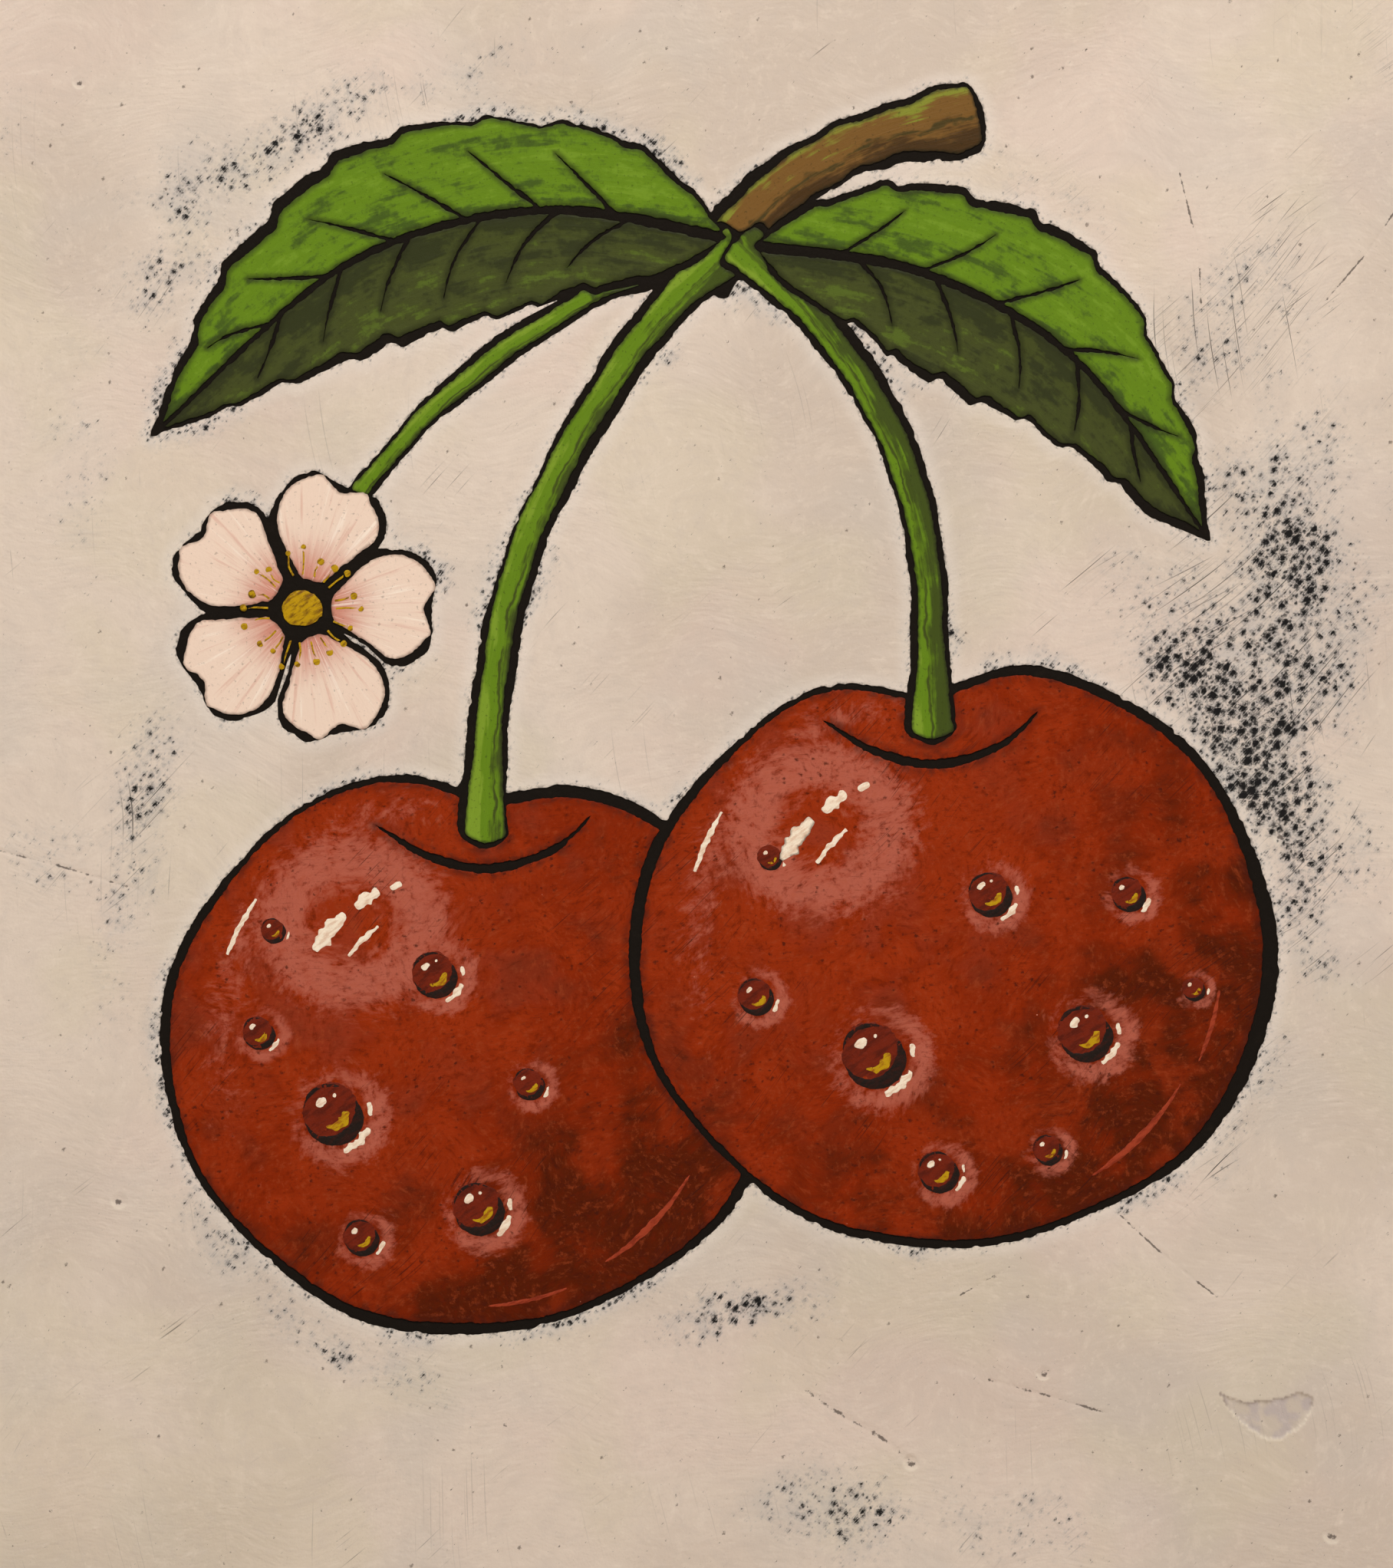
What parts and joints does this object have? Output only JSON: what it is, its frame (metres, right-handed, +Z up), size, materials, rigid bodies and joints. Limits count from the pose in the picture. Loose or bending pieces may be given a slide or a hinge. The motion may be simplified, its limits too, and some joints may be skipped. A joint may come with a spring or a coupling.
{
  "type": "painted wood panel",
  "caption": "Small upright picture painted on a cradled wood panel: a cherry spray with black outlines on a cream field, with a sawtooth hanger behind.",
  "frame": {"origin": "root of the hanger's middle notch, where the wall nail bears", "axes": "+X to the viewer's right, +Y back into the wall, +Z up; the painted face looks along -Y"},
  "size_m": [0.2032, 0.0248, 0.254],
  "materials": {
    "board_wood": "thin pale plywood face board, sanded, bare at its back and paint-smudged at its edges",
    "batten_pine": "planed pine, straight grain, bare, with paint smudges near the front",
    "hanger_steel": "thin zinc-plated strip, slightly dulled",
    "black_ground": "black acrylic undercoat, rolled on, low sheen with a fine stipple",
    "cream_paint": "cream acrylic brushed over the black, worn through in speckled patches, eggshell sheen",
    "red_paint": "brick red acrylic scumbled with pink and maroon, satin",
    "leaf_green_paint": "bright leaf green acrylic, clouded on the leaves and streaked darker along the stems",
    "olive_paint": "dark olive acrylic, softly clouded",
    "bark_paint": "brown-ochre acrylic, streaked along the twig",
    "petal_paint": "warm white acrylic flushed with pink at the base",
    "ochre_paint": "thick ochre yellow acrylic"
  },
  "bodies": {
    "root": {"batten_bottom": "batten_pine", "batten_left": "batten_pine", "batten_right": "batten_pine", "batten_top": "batten_pine", "blossom_heart": "ochre_paint", "blossom_stalk": "leaf_green_paint", "cherry_left": "red_paint", "cherry_right": "red_paint", "cream_coat": "cream_paint", "cream_coat_patch_2": "cream_paint", "face_board": "board_wood", "ground_coat": "black_ground", "hanger_nail_left": "hanger_steel", "hanger_nail_right": "hanger_steel", "hanger_plate": "hanger_steel", "leaf_left_lower": "olive_paint", "leaf_left_upper": "leaf_green_paint", "leaf_right_lower": "olive_paint", "leaf_right_upper": "leaf_green_paint", "petal_1": "petal_paint", "petal_2": "petal_paint", "petal_3": "petal_paint", "petal_4": "petal_paint", "petal_5": "petal_paint", "stem_left": "leaf_green_paint", "stem_right": "leaf_green_paint", "twig": "bark_paint"}
  },
  "joints": []
}
